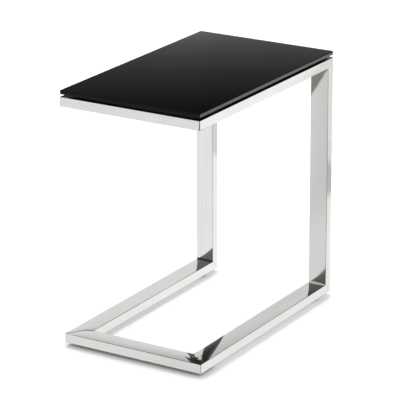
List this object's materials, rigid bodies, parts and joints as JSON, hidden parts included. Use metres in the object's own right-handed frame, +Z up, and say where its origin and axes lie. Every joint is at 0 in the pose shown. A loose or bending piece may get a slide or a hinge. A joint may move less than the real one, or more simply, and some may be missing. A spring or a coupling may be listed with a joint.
{
  "type": "side table",
  "caption": "C-shaped side table: mirror-polished rectangular tube frame, open at one end, under a floating black glass top, on low levelling glides.",
  "frame": {"origin": "on the floor, midway between the four feet", "axes": "+Z up; X across the table; the open end faces -Y and the posts stand at +Y"},
  "size_m": [0.31, 0.51, 0.518],
  "materials": {
    "polished_steel": "mirror-polished stainless steel, not plated",
    "black_glass": "polished opaque black, ground and polished edges",
    "spacer_rubber": "matt black",
    "zinc_steel": "bright zinc on steel",
    "foot_plastic": "moulded black nylon"
  },
  "bodies": {
    "frame": {"glass_top": "black_glass", "top_rail_left": "polished_steel", "top_rail_right": "polished_steel", "top_rail_front": "polished_steel", "top_rail_back": "polished_steel", "post_left": "polished_steel", "post_right": "polished_steel", "base_runner_left": "polished_steel", "base_runner_right": "polished_steel", "base_crossbar": "polished_steel", "weld_head_left": "polished_steel", "weld_head_right": "polished_steel", "weld_foot_left": "polished_steel", "weld_foot_right": "polished_steel", "weld_base_left": "polished_steel", "weld_base_right": "polished_steel", "weld_top_front_left": "polished_steel", "weld_top_front_right": "polished_steel", "weld_top_back_left": "polished_steel", "weld_top_back_right": "polished_steel", "spacer_front_left": "spacer_rubber", "spacer_front_right": "spacer_rubber", "spacer_middle_left": "spacer_rubber", "spacer_middle_right": "spacer_rubber", "spacer_back_left": "spacer_rubber", "spacer_back_right": "spacer_rubber", "glide_inserts": "zinc_steel"},
    "foot_front_left": {"glide_pad_front_left": "foot_plastic"},
    "stem_front_left": {"glide_stem_front_left": "zinc_steel"},
    "foot_front_right": {"glide_pad_front_right": "foot_plastic"},
    "stem_front_right": {"glide_stem_front_right": "zinc_steel"},
    "foot_back_left": {"glide_pad_back_left": "foot_plastic"},
    "stem_back_left": {"glide_stem_back_left": "zinc_steel"},
    "foot_back_right": {"glide_pad_back_right": "foot_plastic"},
    "stem_back_right": {"glide_stem_back_right": "zinc_steel"}
  },
  "joints": [
    {"name": "travel_front_left", "type": "slide", "parent": "frame", "child": "foot_front_left", "axis": [0, 0, -1], "range_m": [0, 0.004]},
    {"name": "turn_front_left", "type": "hinge", "parent": "foot_front_left", "child": "stem_front_left", "pos_m": [-0.135, -0.209, 0.003], "axis": [0, 0, -1], "range_deg": [0, 1440]},
    {"name": "travel_front_right", "type": "slide", "parent": "frame", "child": "foot_front_right", "axis": [0, 0, -1], "range_m": [0, 0.004]},
    {"name": "turn_front_right", "type": "hinge", "parent": "foot_front_right", "child": "stem_front_right", "pos_m": [0.135, -0.209, 0.003], "axis": [0, 0, -1], "range_deg": [0, 1440]},
    {"name": "travel_back_left", "type": "slide", "parent": "frame", "child": "foot_back_left", "axis": [0, 0, -1], "range_m": [0, 0.004]},
    {"name": "turn_back_left", "type": "hinge", "parent": "foot_back_left", "child": "stem_back_left", "pos_m": [-0.135, 0.209, 0.003], "axis": [0, 0, -1], "range_deg": [0, 1440]},
    {"name": "travel_back_right", "type": "slide", "parent": "frame", "child": "foot_back_right", "axis": [0, 0, -1], "range_m": [0, 0.004]},
    {"name": "turn_back_right", "type": "hinge", "parent": "foot_back_right", "child": "stem_back_right", "pos_m": [0.135, 0.209, 0.003], "axis": [0, 0, -1], "range_deg": [0, 1440]}
  ],
  "couplings": [
    {"joint": "turn_front_left", "follows": "travel_front_left", "rad_per_m": 6283.2},
    {"joint": "turn_front_right", "follows": "travel_front_right", "rad_per_m": 6283.2},
    {"joint": "turn_back_left", "follows": "travel_back_left", "rad_per_m": 6283.2},
    {"joint": "turn_back_right", "follows": "travel_back_right", "rad_per_m": 6283.2}
  ]
}
